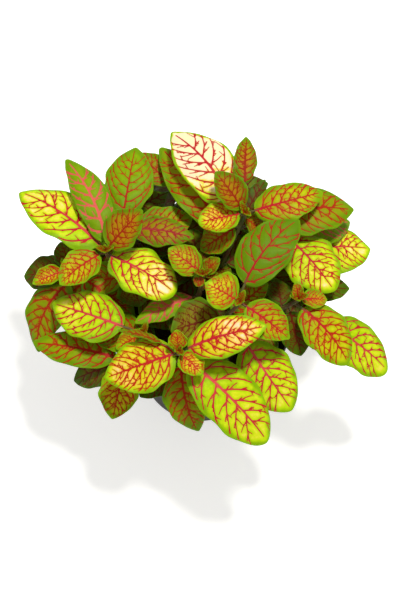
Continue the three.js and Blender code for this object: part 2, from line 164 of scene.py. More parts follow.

# more leaves low in the plant, which fill it; most are dark, painted as leaves in shade
innerLeaves = {
    "west": [(0.45, (-12, -10, 83), 21, "shaded"), (0.42, (-52, 4, 79), 20, "green"),
             (0.6, (-61, 12, 86), 18, "green"), (0.75, (-24, 27, 92), 16)],
    "far_west": [(0.75, (-71, 3, 78), 16, "green"), (0.4, (-63, -3, 77), 18), (0.4, (-34, 24, 80), 18)],
    "south_west": [(0.4, (-46, -8, 79), 20), (0.4, (-3, -36, 77), 19, "old"),
                   (0.7, (-52, -12, 84), 20, "green")],
    "south": [(0.4, (16, -37, 79), 20), (0.4, (-29, -43, 78), 18)],
    "centre": [(0.4, (36, -2, 84), 20), (0.4, (-6, -28, 80), 22)],
    "middle": [(0.4, (17, -8, 80), 20), (0.4, (-20, 17, 80), 20), (0.55, (13, 25, 84), 17, "shaded"),
               (0.55, (-12, -17, 86), 18)],
    "north": [(0.4, (32, 36, 84), 19), (0.4, (-9, 31, 84), 20)],
    "north_east": [(0.4, (50, 6, 80), 20), (0.4, (12, 34, 78), 18), (0.7, (58, 30, 84), 16, "old")],
    "east": [(0.4, (54, -4, 82), 19), (0.4, (24, -29, 78), 21, "shaded")],
    "north_west": [(0.5, (4, 47, 86), 20), (0.45, (-2, 20, 84), 22), (0.45, (-48, 22, 79), 20, "old"),
                   (0.6, (-24, 4, 88), 18), (0.6, (-9, 57, 84), 17), (0.75, (-12, 32, 90), 17)],
    "back": [(0.4, (27, 41, 82), 23, "shaded"), (0.4, (-30, 42, 79), 20), (0.6, (8, 62, 84), 18)],
}

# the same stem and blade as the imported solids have, so that a fine leaf lies in its coarse one
stem = {
    "radius": 1.25, "tipRadius": 0.95, "foot": 54, "upright": 88, "outward": 0.75, "rise": 16, "overRim": 94,
    "steps": 40, "knuckle": 0.15, "knuckleSpan": 0.02, "knucklesTo": 0.99,
}

blade = {
    "stalk": 0.12, "stalkWidth": 1.6, "stalkThick": 1.4, "merge": 0.15, "solidThick": 0.75,
    "shoulder": 0.52, "taper": 0.64, "waves": 2.5, "calmTip": 4, "oldLength": 34,
    "old": {"arch": 0.1, "cup": -0.14, "wave": 0.8}, "young": {"arch": 0.05, "cup": 0.15, "wave": 0.4},
    "plain": {"roll": 0, "bend": 0, "broad": 1, "glow": 1, "point": 0.82},
}

giveWay = {  # how a packed leaf may have moved to clear its neighbours
    "slides": (0, -0.06, 0.06, -0.12, 0.12, -0.18), "step": 1.5, "steps": 10, "near": 0.02, "meets": 3,
    "lastRow": 0.9, "lastRowSmall": 0.45, "small": 14,
}

# heart: green to cream, the cream partly painted highlight. blush: orange brown. depth: darker, painted shade
# for leaves inside the plant, partly also old leaves' own darker green. hue: orange, crimson, pink veins.
# net: how dense.
# two looks have more: how far side veins bend to the tip, and how thick all veins are
lookNames = ("heart", "blush", "depth", "hue", "net", "pairs", "curl", "weight")
looks = {
    # bright, pale, cream and peach leaves: their pale cream is partly their own colour, partly painted
    # highlight
    "bright": (0.82, 0, 0, 0.55, 0.35, 6),
    "pale": (0.92, 0, 0, 0.5, 0.4, 6),
    "cream": (1.5, 0, 0, 0.5, 0.4, 6),
    "peach": (1.02, 0.3, 0, 0.45, 0.55, 7),
    "golden": (0.78, 0.3, 0, 0.35, 0.72, 7),
    "netted": (0.6, 0.34, 0.04, 0.3, 0.65, 6),
    "flame": (0.42, 0.3, 0.06, 0.42, 0.45, 6),
    "bronze": (0.26, 0.6, 0.28, 0.25, 0.5, 6),
    "dusky": (0.18, 0.42, 0.34, 0.6, 0.5, 6),
    "lime": (0.66, 0, 0, 0.58, 0.2, 6),
    "green": (0.22, 0.2, 0.16, 0.18, 0.45, 6),
    "striped": (0.22, 0.06, 0.1, 0.3, 0.05, 6, 0.86, 0.75),
    "shaded": (0.1, 0.34, 0.54, 0.2, 0.3, 6),
    "glossy": (0.12, 0.03, 0.22, 0.42, 0.1, 5, 0.84, 0.8),
    "pinkVeined": (0.24, 0.05, 0.12, 0.9, 0.2, 6),
    # painted shade: the dark look stands for leaves in shade inside the plant; old is the low leaves' own
    # darker green, darkened further as painted shade
    "darkInShade": (0, 0.25, 0.84, 0.2, 0.1, 5),
    "old": (0.05, 0.14, 0.64, 0.4, 0.12, 5),
    "bud": (0.6, 0.25, 0.3, 0.1, 0, 4),
}


def report(stage):
    print("stage:", stage)


def meshOf(bm, name):
    mesh = bpy.data.meshes.new(name)
    bm.to_mesh(mesh)
    bm.free()
    return mesh


def dress(mesh, *finishes):
    mesh.materials.clear()
    for finish in finishes:
        mesh.materials.append(finish)
    return mesh


def smooth(mesh):
    mesh.polygons.foreach_set("use_smooth", np.ones(len(mesh.polygons), bool))
    return mesh


def objectOf(mesh, name):
    made = bpy.data.objects.new(name, mesh)
    bpy.context.scene.collection.objects.link(made)
    return made


def finished(made):  # an object's mesh with its modifiers or its bevel applied
    bpy.context.view_layer.update()
    return bpy.data.meshes.new_from_object(made.evaluated_get(bpy.context.evaluated_depsgraph_get()))


def joined(objects):
    with bpy.context.temp_override(active_object=objects[0], selected_editable_objects=objects):
        bpy.ops.object.join()
    return objects[0]


def blend(pair, share):
    return pair[0] + (pair[1] - pair[0]) * share


def unit(vector):
    return vector / np.linalg.norm(vector)


def rgb(red, green, blue):  # a screen colour as light
    shares = [channel / 255 for channel in (red, green, blue)]
    return tuple(((c + 0.055) / 1.055) ** 2.4 if c > 0.04 else c / 12.92 for c in shares)


# ---- where the leaves lie ----

def stemPoint(shoot, t):  # a cubic curve: straight up, out over the rim, then to the top
    x, y = shoot["root"]
    top = np.array(shoot["top"], float)
    knee = [x + (top[0] - x) * stem["outward"], y + (top[1] - y) * stem["outward"]]
    knee.append(max(top[2] - stem["rise"], stem["overRim"]))
    corners = np.array([[x, y, stem["foot"]], [x, y, stem["upright"]], knee, top])
    shares = [(1 - t) ** 3, 3 * t * (1 - t) ** 2, 3 * t * t * (1 - t), t ** 3]
    return sum(share * corner for share, corner in zip(shares, corners))


def lengthOf(leaf):
    return np.linalg.norm(leaf["tip"] - leaf["base"])


def bladeShare(leaf, s):  # 0 where the blade starts, 1 at its tip
    return np.clip((s - leaf["stalk"]) / (1 - leaf["stalk"]), 0, 1)


def leafAt(shoot, place, tip, width, look="darkInShade", special=None):
    leaf = {"place": place, "base": stemPoint(shoot, place), "tip": np.array(tip, float), "width": width}
    habit = blade["old" if lengthOf(leaf) >= blade["oldLength"] else "young"]
    return {**leaf, "look": look, "stalk": blade["stalk"], **blade["plain"], **habit, **(special or {})}


def leafFrame(leaf):
    length = lengthOf(leaf)
    along = (leaf["tip"] - leaf["base"]) / length
    side = unit(np.cross(upright, along))
    turn = Matrix.Rotation(math.radians(leaf["roll"]), 3, Vector(along))
    side = np.array(turn @ Vector(side))
    return along, side, np.cross(along, side), length


def halfWidth(leaf, q):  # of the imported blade, with q from its base to its tip
    widest = blade["shoulder"] / (blade["shoulder"] + blade["taper"])
    most = widest ** blade["shoulder"] * (1 - widest) ** blade["taper"]
    shape = q ** blade["shoulder"] * (1 - q) ** blade["taper"] / most
    return np.maximum(leaf["width"] / 2 * shape, blade["stalkWidth"] / 2 * (1 - q))


def leafPoints(leaf, s, v, lift, half=None):  # s runs from the stem to the tip, v from margin to margin
    along, side, up, length = leafFrame(leaf)
    q = bladeShare(leaf, s)
    half = halfWidth(leaf, q) if half is None else half
    ripple = np.sin(2 * math.pi * blade["waves"] * q + 2 * v) * np.minimum(1, blade["calmTip"] * (1 - q))
    wave = np.where(q > 0, leaf["wave"] * np.abs(v) ** 3 * ripple, 0)
    bow = 4 * s * (1 - s) * length
    rise = leaf["arch"] * bow + leaf["cup"] * half * v * v + wave + lift
    return (leaf["base"] + np.outer(length * s, along) + np.outer(half * v + leaf["bend"] * bow, side)
            + np.outer(rise, up))


def solidLift(leaf, s):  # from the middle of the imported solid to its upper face
    share = np.minimum(1, bladeShare(leaf, s) / blade["merge"])
    return blend((blade["stalkThick"], blade["solidThick"]), share) / 2


def giveWays(shoot, leaf):
    for slide in (share for share in giveWay["slides"] if leaf["place"] + share <= 1):
        place = leaf["place"] + slide
        for k in range(giveWay["steps"] + 1):
            for lift in ([0] if k == 0 else [-k * giveWay["step"], k * giveWay["step"]]):
                moved = leaf["tip"] + [0, 0, lift]
                yield {**leaf, "place": place, "base": stemPoint(shoot, place), "tip": moved}


def asPacked(shoot, leaf, corners):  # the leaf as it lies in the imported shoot, or None if it has none
    lastRow = giveWay["lastRowSmall" if lengthOf(leaf) < giveWay["small"] else "lastRow"]
    lastRow = leaf["stalk"] + (1 - leaf["stalk"]) * lastRow
    s = np.array([1, 1, lastRow, lastRow])
    v = np.array([0, 0, -1, 1])
    for way in giveWays(shoot, leaf):
        lift = solidLift(way, s) * [1, -1, 1, 1]
        points = leafPoints(way, s, v, lift)
        met = sum(corners.find(point * mm)[2] < giveWay["near"] * mm for point in points)
        if met >= giveWay["meets"]:
            return way
    return None


def cornersOf(node):
    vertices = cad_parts[node].data.vertices
    tree = KDTree(len(vertices))
    for vertex in vertices:
        tree.insert(vertex.co, vertex.index)
    tree.balance()
    return tree


def tipLeaves(shoot, number, kind):
    habit = tipHabit[kind]
    for turn in habit["turns"]:
        angle = number * tipHabit["turn"] + turn
        out = unit(np.array([math.cos(angle), math.sin(angle), habit["lift"]])) * habit["length"]
        yield leafAt(shoot, 1, shoot["top"] + out, habit["width"], tipHabit["look"], tipHabit["special"])


def lowDraws(state):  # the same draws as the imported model's
    while True:
        state = state * lowHabit["factor"] % lowHabit["modulus"]
        yield state / lowHabit["modulus"]


def lowLeaves(shoot, draws):
    for pair in range(lowHabit["pairs"]):
        place = lowHabit["place"] - lowHabit["pairStep"] * pair
        for turn in (0, math.pi):
            sway = lowHabit["sway"] * (next(draws) - 0.5)
            angle = math.radians(shoot["turn"]) + pair * math.pi / 2 + turn + sway
            length = shoot["reach"] * blend(lowHabit["lengths"], next(draws))
            droop = length * blend(lowHabit["droops"], next(draws))
            width = length * blend(lowHabit["widths"], next(draws))
            reach = np.array([length * math.cos(angle), length * math.sin(angle), -droop])
            yield leafAt(shoot, place, stemPoint(shoot, place) + reach, width, lowHabit["look"])


# ---- the fine blade ----

sheet = {  # the fine blade: its grid, its margin, and the puckers between veins
    "cells": (0.43, 0.35), "coarse": 1.5, "coarseDepth": 0.5, "fewestRows": 12, "fewestColumns": 8,
    "evenRows": 0.35, "tipRise": 0.82, "tipRound": 0.05, "tipFrom": 0.9, "thick": 0.45,
    "scallop": 0.028, "scallops": (2.1, 3.3), "scallopTurns": (0.5, 2), "scallopEnds": 6,
    "major": 0.24, "majorReach": 1.6, "minor": 0.06, "minorReach": 0.6, "calmEdge": 1.6, "sunk": 0.5,
    "toneSpread": {"heart": 0.08, "blush": 0.05, "depth": 0.04}, "mostTone": 2, "hueSpread": 0.06,
    "edgeSteps": 70, "seed": 1000,
}


def outline(leaf, q):  # the fine blade's half width: as packed, but narrower to the tip
    widest = blade["shoulder"] / (blade["shoulder"] + blade["taper"])
    base = (q / widest) ** blade["shoulder"] * ((1 - q) / (1 - widest)) ** blade["taper"]
    tip = (q / widest) ** (sheet["tipRise"] * leaf["point"]) * ((1 - q) / (1 - widest)) ** leaf["point"]
    half = leaf["width"] * leaf["broad"] / 2 * np.where(q < widest, base, tip)
    half = np.maximum(half, blade["stalkWidth"] / 2 * (1 - q))
    tipRadius = sheet["tipRound"] * leaf["width"]
    return np.maximum(half, np.sqrt(2 * tipRadius * leaf["bladeLength"] * (1 - q)) * (q > sheet["tipFrom"]))


# ---- veins ----

veins = {  # widths are half widths, from start to end
    "step": 0.6, "fullLength": 42, "sizes": (0.4, 1.1), "sizePower": 0.7, "mostPoints": 20000,
    "midrib": (0.8, 0.28), "ribFrom": -1, "ribTo": 0.94, "sway": 0.3, "swayTurns": 5,
    "side": (0.48, 0.25), "sideThins": 0.3, "first": 0.03, "last": 0.8, "angles": (46, 34), "angleSpread": 5,
    "staggers": {1: (0.45, 0.65), -1: (0.0, 0.15)},
    "curl": 0.62, "curlPower": 1.2, "edge": 0.9, "tipStop": 0.93, "wobble": 2.6, "wobbleKept": 0.8,
    "fork": {"every": (4.6, 3.4), "from": (0.2, 0.6), "hands": (1,), "angles": (44, 58), "reach": 30,
             "gap": (1.7, 1.25), "link": 0.3, "shortest": 2.4, "widths": (0.31, 0.19)},
    "spur": {"every": (5.4, 2.9), "from": (0.5, 0.9), "hands": (-1, 1), "angles": (38, 56), "reach": (2.6, 5),
             "gap": (1.7, 1.05), "link": 0.8, "shortest": 1.8, "widths": (0.22, 0.15)},
    "clear": 2.1, "unevenSteps": 0.25, "reachSpread": (0.7, 1.3), "guard": 0.4, "spurredNet": 0.4,
    "ribSpurs": ((3, 1), (5, -1)), "within": (0.001, 0.999), "batch": 1000000,
}


def veinPath(leaf, start, heading, side, reach, field, gap, link, draw):
    # walks from start, curving on towards the tip, until it nears the margin or another vein
    x, y = start
    points, gone, wander = [(x, y)], 0, 0
    taken, (low, high) = field["points"][:field["count"]], veins["within"]
    if gap:
        taken = taken[np.hypot(taken[:, 0] - x, taken[:, 1] - y) > veins["clear"] * gap]
    while gone < reach and x < leaf["bladeLength"] * veins["tipStop"]:
        limit = outline(leaf, min(high, max(low, x / leaf["bladeLength"]))) * veins["edge"]
        nearness = abs(y) / limit
        if nearness > 1:
            break
        wander = wander * veins["wobbleKept"] + draw.uniform(-1, 1) * veins["wobble"]
        angle = math.radians(heading * (1 - leaf["curl"] * nearness ** veins["curlPower"]) + wander)
        x += veins["step"] * math.cos(angle)
        y += veins["step"] * math.sin(angle) * side
        gone += veins["step"]
        if gap and len(taken):
            apart = np.hypot(taken[:, 0] - x, taken[:, 1] - y)
            if apart.min() < gap:
                if draw.random() < link:
                    points += [(x, y), tuple(taken[apart.argmin()])]
                break
        points.append((x, y))
    return points


def lay(points, widths, field):  # notes where a vein lies, and gives its segments
    count = len(points) - 1
    field["points"][field["count"]:field["count"] + count + 1] = points
    field["count"] += count + 1
    steps = [blend(widths, i / count) for i in range(count + 1)]
    return [(*points[i], *points[i + 1], steps[i], steps[i + 1]) for i in range(count)]


def branches(leaf, path, side, kind, size, net, field, draw):
    # veins that leave a thicker one at even distances, where there is room for them
    habit = veins[kind]
    every, gap = blend(habit["every"], net) * size, blend(habit["gap"], net) * size
    made, paths, gone = [], [], draw.uniform(*habit["from"]) * every
    for i in range(1, len(path) - 2):
        gone += veins["step"]
        if gone < every:
            continue
        gone = draw.uniform(-veins["unevenSteps"], veins["unevenSteps"]) * every
        run = math.degrees(math.atan2((path[i + 1][1] - path[i][1]) * side, path[i + 1][0] - path[i][0]))
        for hand in habit["hands"] if draw.random() < 0.5 else habit["hands"][::-1]:
            heading = run + hand * draw.uniform(*habit["angles"])
            reach = habit["reach"]
            if kind == "spur":
                reach = blend(reach, net) * draw.uniform(*veins["reachSpread"])
            link = net * habit["link"]
            branch = veinPath(leaf, path[i], heading, side, reach * size, field, gap, link, draw)
            if len(branch) > 2 and len(branch) * veins["step"] > habit["shortest"] * size:
                made += lay(branch, [width * size for width in habit["widths"]], field)
                paths.append((branch, side))
                break
    return made, paths


def growVeins(leaf, look, draw):  # the bold veins' segments, and all the veins' segments
    bladeLength, net = leaf["bladeLength"], look["net"]
    smallest, largest = veins["sizes"]
    size = max(smallest, min(largest, (bladeLength / veins["fullLength"]) ** veins["sizePower"]))
    field = {"points": np.zeros((veins["mostPoints"], 2)), "count": 0}
    sway = veins["sway"] * size * draw.choice((1, -1))
    midrib = [(x, sway * math.sin(veins["swayTurns"] * x / bladeLength) * x / bladeLength)
              for x in np.arange(veins["ribFrom"], veins["ribTo"] * bladeLength, veins["step"])]
    bold = lay(midrib, [width * size for width in veins["midrib"]], field)
    sides, fine = [], []
    for side in (1, -1):
        stagger = draw.uniform(*veins["staggers"][side])
        for i in range(look["pairs"]):
            share = (i + stagger) / look["pairs"]
            x = blend((veins["first"], veins["last"]), share) * bladeLength
            start = midrib[min(len(midrib) - 1, int((x - veins["ribFrom"]) / veins["step"]))]
            heading = veins["angles"][0] + veins["angles"][1] * (1 - share) ** 2
            heading += draw.uniform(-veins["angleSpread"], veins["angleSpread"])
            bent = {**leaf, "curl": look["curl"]}
            path = veinPath(bent, start, heading, side, bladeLength, field, 0, 0, draw)
            if len(path) > 2:
                thin = 1 - veins["sideThins"] * share
                bold += lay(path, [width * size * thin for width in veins["side"]], field)
                sides.append((path, side))
    forks = []
    for path, side in sides:
        made, paths = branches(leaf, path, side, "fork", size, net, field, draw)
        fine += made
        forks += paths
    ribs = [(midrib[begin:], side) for begin, side in veins["ribSpurs"]]
    for path, side in sides + (forks + ribs if net > veins["spurredNet"] else []):
        fine += branches(leaf, path, side, "spur", size, net, field, draw)[0]
    every = np.array(bold + fine, np.float32)
    every[:, 4:6] *= look["weight"]
    return np.array(bold, np.float32), every


def nearestVein(points, segments):  # the way from each point to it, its half width, and its distance
    start, run = segments[:, 0:2], segments[:, 2:4] - segments[:, 0:2]
    runSquared = np.maximum((run ** 2).sum(1), 1e-6)
    offsets, widths = [], []
    for part in np.array_split(points, max(1, len(points) * len(segments) // veins["batch"])):
        gap = part[:, None] - start[None]
        t = np.clip((gap * run).sum(-1) / runSquared, 0, 1)
        offset = run[None] * t[..., None] - gap
        width = segments[:, 4] + (segments[:, 5] - segments[:, 4]) * t
        pick = np.argmin(np.hypot(offset[..., 0], offset[..., 1]) - width, axis=1)
        rows = np.arange(len(part))
        offsets.append(offset[rows, pick])
        widths.append(width[rows, pick])
    offsets = np.concatenate(offsets)
    return offsets, np.concatenate(widths), np.hypot(offsets[:, 0], offsets[:, 1])


# ---- leaf sheets ----

def setAttribute(mesh, name, values):
    kind, key = ("FLOAT_VECTOR", "vector") if values.ndim == 2 else ("FLOAT", "value")
    mesh.attributes.new(name, kind, "POINT").data.foreach_set(key, values.astype(np.float32).ravel())


def marginDistance(leaf, places):  # from each place in the flat blade to its outline
    q = (1 - np.cos(np.linspace(0, math.pi, sheet["edgeSteps"]))) / 2
    x, half = q * leaf["bladeLength"], outline(leaf, q)
    edge = np.concatenate([np.stack([x, half], 1), np.stack([x, -half], 1)[::-1]])
    walls = np.concatenate([edge[:-1], edge[1:], np.zeros((len(edge) - 1, 2))], 1).astype(np.float32)
    return nearestVein(places, walls)[2]


def flatGrid(rows, columns):  # a sheet of cells, and its corners' places from -1 to 1 both ways
    bm = bmesh.new()
    bmesh.ops.create_grid(bm, x_segments=rows, y_segments=columns, size=1)
    mesh = meshOf(bm, "sheet")
    flat = np.zeros(len(mesh.vertices) * 3, np.float32)
    mesh.vertices.foreach_get("co", flat)
    return mesh, flat.reshape(-1, 3)


def leafSheet(leaf, draw):  # one leaf's blade, with the attributes that its finish reads
    look = {"curl": veins["curl"], "weight": 1, **dict(zip(lookNames, looks[leaf["look"]]))}
    leaf = {**leaf, "bladeLength": leafFrame(leaf)[3] * (1 - leaf["stalk"]), "curl": veins["curl"]}
    # leaves darkened as painted shade get a coarser grid
    coarse = sheet["coarse"] if look["depth"] > sheet["coarseDepth"] else 1
    cell = blend(sheet["cells"], look["net"]) * coarse
    rows = max(sheet["fewestRows"], round(leaf["bladeLength"] / cell))
    columns = max(sheet["fewestColumns"], round(leaf["width"] / cell))
    mesh, flat = flatGrid(rows, columns)
    t, v = (flat[:, 0] + 1) / 2, flat[:, 1]
    q = sheet["evenRows"] * t + (1 - sheet["evenRows"]) * (1 - np.cos(math.pi * t)) / 2
    uneven = 0
    for turns in sheet["scallops"]:
        ripple = 2 * math.pi * (turns * q + draw.random())
        uneven = uneven + np.sin(ripple + np.sign(v) * draw.uniform(*sheet["scallopTurns"]))
    ends = np.minimum(1, sheet["scallopEnds"] * q * (1 - q))
    half = outline(leaf, q) * (1 + sheet["scallop"] * uneven * ends)
    places = np.stack([q * leaf["bladeLength"], half * v], 1).astype(np.float32)
    bold, every = growVeins(leaf, look, draw)
    offset, width, distance = nearestVein(places, every)
    boldDistance = nearestVein(places, bold)[2]
    margin = marginDistance(leaf, places)
    size = min(1, leaf["bladeLength"] / veins["fullLength"])
    puckers = sheet["major"] * size * (1 - np.exp(-(boldDistance / sheet["majorReach"]) ** 2))
    puckers += sheet["minor"] * size * (1 - np.exp(-(distance / sheet["minorReach"]) ** 2))
    lift = (puckers - sheet["major"] * sheet["sunk"] * size) * np.clip(margin / sheet["calmEdge"], 0, 1)
    points = leafPoints(leaf, leaf["stalk"] + (1 - leaf["stalk"]) * q, v, lift, half)
    mesh.vertices.foreach_set("co", (points * mm).astype(np.float32).ravel())
    longestStep = math.hypot(leaf["bladeLength"] / rows, leaf["width"] / columns)
    tone = [look[name] * (leaf["glow"] if name == "heart" else 1) + draw.uniform(-spread, spread)
            for name, spread in sheet["toneSpread"].items()]
    tone = np.clip(tone, 0, sheet["mostTone"])
    hue = look["hue"] + draw.uniform(-sheet["hueSpread"], sheet["hueSpread"])
    setAttribute(mesh, "leafPlace", np.stack([q, v, margin], 1))
    setAttribute(mesh, "veinOffset", np.column_stack([offset, width]))
    setAttribute(mesh, "veinGuard", distance - longestStep * veins["guard"])
    setAttribute(mesh, "leafTone", np.tile(tone, (len(q), 1)))
    setAttribute(mesh, "veinHue", np.full(len(q), hue))
    return smooth(mesh)


def thickened(made):  # a closed blade: upper face, margin and under side
    bm = bmesh.new()
    bm.from_mesh(made.data)
    bmesh.ops.remove_doubles(bm, verts=bm.verts, dist=touching["leaf"] * mm)
    bm.to_mesh(made.data)
    bm.free()
    shell = made.modifiers.new("blade", "SOLIDIFY")
    shell.thickness = sheet["thick"] * mm
    shell.offset = 0
    shell.material_offset = 1
    dress(made.data, None, None)
    solid = finished(made)
    made.modifiers.clear()
    made.data = solid
    return made


# ---- stems, stalks and hairs ----

stalks = {
    "radii": (0.8, 0.55), "under": 0.78, "ribRadii": (0.5, 0.14), "sink": 0.25, "sinksBy": 6, "seat": 0.35,
    "steps": 9, "ribSteps": 14, "fullWidth": 20, "least": 0.35,
}

hairs = {
    "count": 260, "lengths": (0.6, 1.5), "radii": (0.045, 0.01), "seat": 0.9, "lean": (-0.2, 0.5),
    "aslant": (0.3, 0.5, 0.81),  # a direction that no stem follows
    "tuft": 26, "tuftLengths": (1.2, 2.6), "tuftRise": (0.6, 0.6), "tuftRadius": 0.6,
}


def tubes(name, runs):  # each run is (points in mm, radii in mm)
    curve = bpy.data.curves.new(name, "CURVE")
    curve.dimensions = "3D"
    curve.bevel_depth = 1
    curve.bevel_resolution = 2
    curve.use_fill_caps = True
    for points, radii in runs:
        spline = curve.splines.new("POLY")
        spline.points.add(len(points) - 1)
        rows = np.column_stack([np.array(points) * mm, np.ones(len(points))])
        spline.points.foreach_set("co", rows.ravel())
        spline.points.foreach_set("radius", np.array(radii) * mm)
    holder = objectOf(curve, name)
    mesh = finished(holder)
    bpy.data.objects.remove(holder)
    return smooth(mesh)


def stemRun(shoot, leaves):
    t = np.linspace(0, 1, stem["steps"])
    points = np.array([stemPoint(shoot, share) for share in t])
    radii = blend((stem["radius"], stem["tipRadius"]), t)
    for leaf in leaves:  # a slight knuckle where each pair of leaves is borne
        if leaf["place"] < stem["knucklesTo"]:
            radii += stem["knuckle"] * np.exp(-((t - leaf["place"]) / stem["knuckleSpan"]) ** 2)
    return points, radii


def stalkRun(leaf):  # from the stem along the stalk, then as the rib under the blade
    s = np.concatenate([np.linspace(0, leaf["stalk"], stalks["steps"]),
                        np.linspace(leaf["stalk"], stalks["under"], stalks["ribSteps"])[1:]])
    share = np.clip((s - leaf["stalk"]) / (stalks["under"] - leaf["stalk"]), 0, 1)
    stalkRadii = blend(stalks["radii"], np.clip(s / leaf["stalk"], 0, 1))
    size = min(1, max(stalks["least"], leaf["width"] / stalks["fullWidth"]))
    radii = np.where(s <= leaf["stalk"], stalkRadii, blend(stalks["ribRadii"], share)) * size
    sunk = -np.minimum(share * stalks["sinksBy"], 1) * stalks["sink"] - radii * stalks["seat"]
    return leafPoints(leaf, s, np.zeros(len(s)), sunk), radii


def hairMesh(roots):  # each root is (place, direction, length) in mm
    bm = bmesh.new()
    root, tip = (radius * mm for radius in hairs["radii"])
    for place, direction, length in roots:
        turn = Vector(direction).to_track_quat("Z", "Y").to_matrix().to_4x4()
        middle = (np.array(place) + np.array(direction) * length / 2) * mm
        bmesh.ops.create_cone(bm, cap_ends=True, segments=3, radius1=root, radius2=tip, depth=length * mm,
                              matrix=Matrix.Translation(middle) @ turn)
    return meshOf(bm, "hairs")


def hairRoots(runs, shoot, draw):
    roots = []
    lengths = [max(1e-6, np.linalg.norm(np.diff(points, axis=0), axis=1).sum()) for points, _ in runs]
    for _ in range(hairs["count"]):
        points, radii = draw.choices(runs, weights=lengths)[0]
        i = draw.randrange(len(points) - 1)
        run = unit(points[i + 1] - points[i] + 1e-9)  # never nought long
        spin = draw.uniform(0, 2 * math.pi)
        side = unit(np.cross(run, hairs["aslant"]))
        out = side * math.cos(spin) + np.cross(run, side) * math.sin(spin)
        place = points[i] + (points[i + 1] - points[i]) * draw.random() + out * radii[i] * hairs["seat"]
        direction = unit(out + run * draw.uniform(*hairs["lean"]))
        roots.append((place, direction, draw.uniform(*hairs["lengths"])))
    for _ in range(hairs["tuft"]):  # at the stem's tip
        out = unit(np.array([draw.gauss(0, 1), draw.gauss(0, 1), abs(draw.gauss(*hairs["tuftRise"]))]))
        place = np.array(shoot["top"]) + out * hairs["tuftRadius"]
        roots.append((place, out, draw.uniform(*hairs["tuftLengths"])))
    return roots


def buildShoot(name, shoot, leaves, extra, number, finishes):
    draw = random.Random(sheet["seed"] + number)
    corners = cornersOf("shoot_" + name)
    kept = [leaf for leaf in (asPacked(shoot, leaf, corners) for leaf in leaves) if leaf] + extra
    blades = thickened(joined([objectOf(leafSheet(leaf, draw), "sheet") for leaf in kept]))
    blades.name = "leaves_" + name
    dress(blades.data, finishes["leafTop"], finishes["leafUnder"])
    runs = [stemRun(shoot, kept)] + [stalkRun(leaf) for leaf in kept]
    stems = objectOf(dress(tubes("stems", runs), finishes["stem"]), "stems")
    fuzz = objectOf(dress(hairMesh(hairRoots(runs, shoot, draw)), finishes["hair"]), "hairs")
    piece = joined([blades, stems, fuzz])
    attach(piece, "root")
    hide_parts("shoot_" + name)
    report(f"shoot {name}, {len(kept)} leaves, {len(piece.data.polygons)} faces")


# ---- shader maths ----

def maths(operation, turned=False):
    def apply(wire, *others):
        values = (*others, wire) if turned else (wire, *others)
        return wire.node("ShaderNodeMath", {"operation": operation}, dict(enumerate(values)))
    return apply


class Wire:  # one socket, so that shader maths reads as plain expressions
    def __init__(self, tree, socket=None):
        self.tree, self.socket = tree, socket

    def node(self, kind, settings=None, sockets=None, output=0):
        made = self.tree.nodes.new(kind)
        for name, value in (settings or {}).items():
            if name == "stops":
                while len(made.color_ramp.elements) < len(value):
                    made.color_ramp.elements.new(0.5)
                for element, (place, colour) in zip(made.color_ramp.elements, value.items()):
                    element.position, element.color = place, (*rgb(*colour), 1)
            else:
                setattr(made, name, value)
        for name, value in (sockets or {}).items():
            if isinstance(value, Wire):
                self.tree.links.new(value.socket, made.inputs[name])
            else:
                made.inputs[name].default_value = value
        return Wire(self.tree, made.outputs[output])

    __add__ = __radd__ = maths("ADD")
    __mul__ = __rmul__ = maths("MULTIPLY")
    __sub__, __rsub__ = maths("SUBTRACT"), maths("SUBTRACT", turned=True)
    root, most = maths("SQRT"), maths("MAXIMUM")

    def between(self, low, high):  # 0 below low, 1 above high, smooth between; runs down if low > high
        ends = {"Value": self, "From Min": low, "From Max": high}
        return self.node("ShaderNodeMapRange", {"interpolation_type": "SMOOTHSTEP"}, ends)

    def spread(self, low, high):  # from 0 to 1 becomes from low to high
        return self * (high - low) + low

    def mix(self, *colours):  # this wire is the share of the second colour
        first, second = (colour if isinstance(colour, Wire) else (*rgb(*colour), 1) for colour in colours)
        return self.node("ShaderNodeMix", {"data_type": "RGBA"}, {0: self, 6: first, 7: second}, 2)

    def ramp(self, stops):
        return self.node("ShaderNodeValToRGB", {"stops": stops}, {"Fac": self})

    def part(self, index):
        return self.node("ShaderNodeSeparateXYZ", None, {0: self}, index)

    def spots(self):  # places in metres
        return self.node("ShaderNodeTexCoord", None, None, "Object")

    def attribute(self, name, output="Vector"):
        return self.node("ShaderNodeAttribute", {"attribute_name": name}, None, output)

    def noise(self, scale, detail=2.0, roughness=0.5):  # scale is in lumps per metre
        look = {"Scale": scale, "Detail": detail, "Roughness": roughness}
        return self.node("ShaderNodeTexNoise", None, {"Vector": self.spots(), **look})

    def bump(self, strength, depth, height):  # depth in millimetres
        look = {"Strength": strength, "Distance": depth * mm, "Height": height}
        return self.node("ShaderNodeBump", None, look)


def newFinish(name, recipe, **constants):  # what varies over the surface comes from the recipe
    finish = bpy.data.materials.new(name)
    finish.use_nodes = True
    inputs = finish.node_tree.nodes["Principled BSDF"].inputs
    for key, value in constants.items():
        inputs[key.replace("_", " ")].default_value = value
    for key, wire in zip(("Base Color", "Roughness", "Normal"), recipe(Wire(finish.node_tree))):
        finish.node_tree.links.new(wire.socket, inputs[key])
    return finish


# ---- leaf, stem and hair finishes ----

leafColours = {
    # the dark olive and dark red here are painted shade, partly also the darker colour of old leaves; the
    # heart's cream end is partly painted highlight
    "rim": (128, 174, 4), "blush": (216, 118, 10), "shadeAndAge": (24, 32, 4), "veinShadeAndAge": (96, 30, 6),
    "heart": {0: (92, 134, 2), 0.25: (136, 174, 2), 0.46: (178, 210, 4), 0.64: (208, 218, 30),
              0.82: (238, 220, 92), 1: (255, 232, 188)},
    "hues": {0: (184, 62, 8), 0.3: (180, 40, 16), 0.55: (184, 26, 40), 1: (226, 100, 88)},
    "under": (140, 166, 70), "underGrain": (110, 140, 60), "underVein": (196, 124, 92),
}

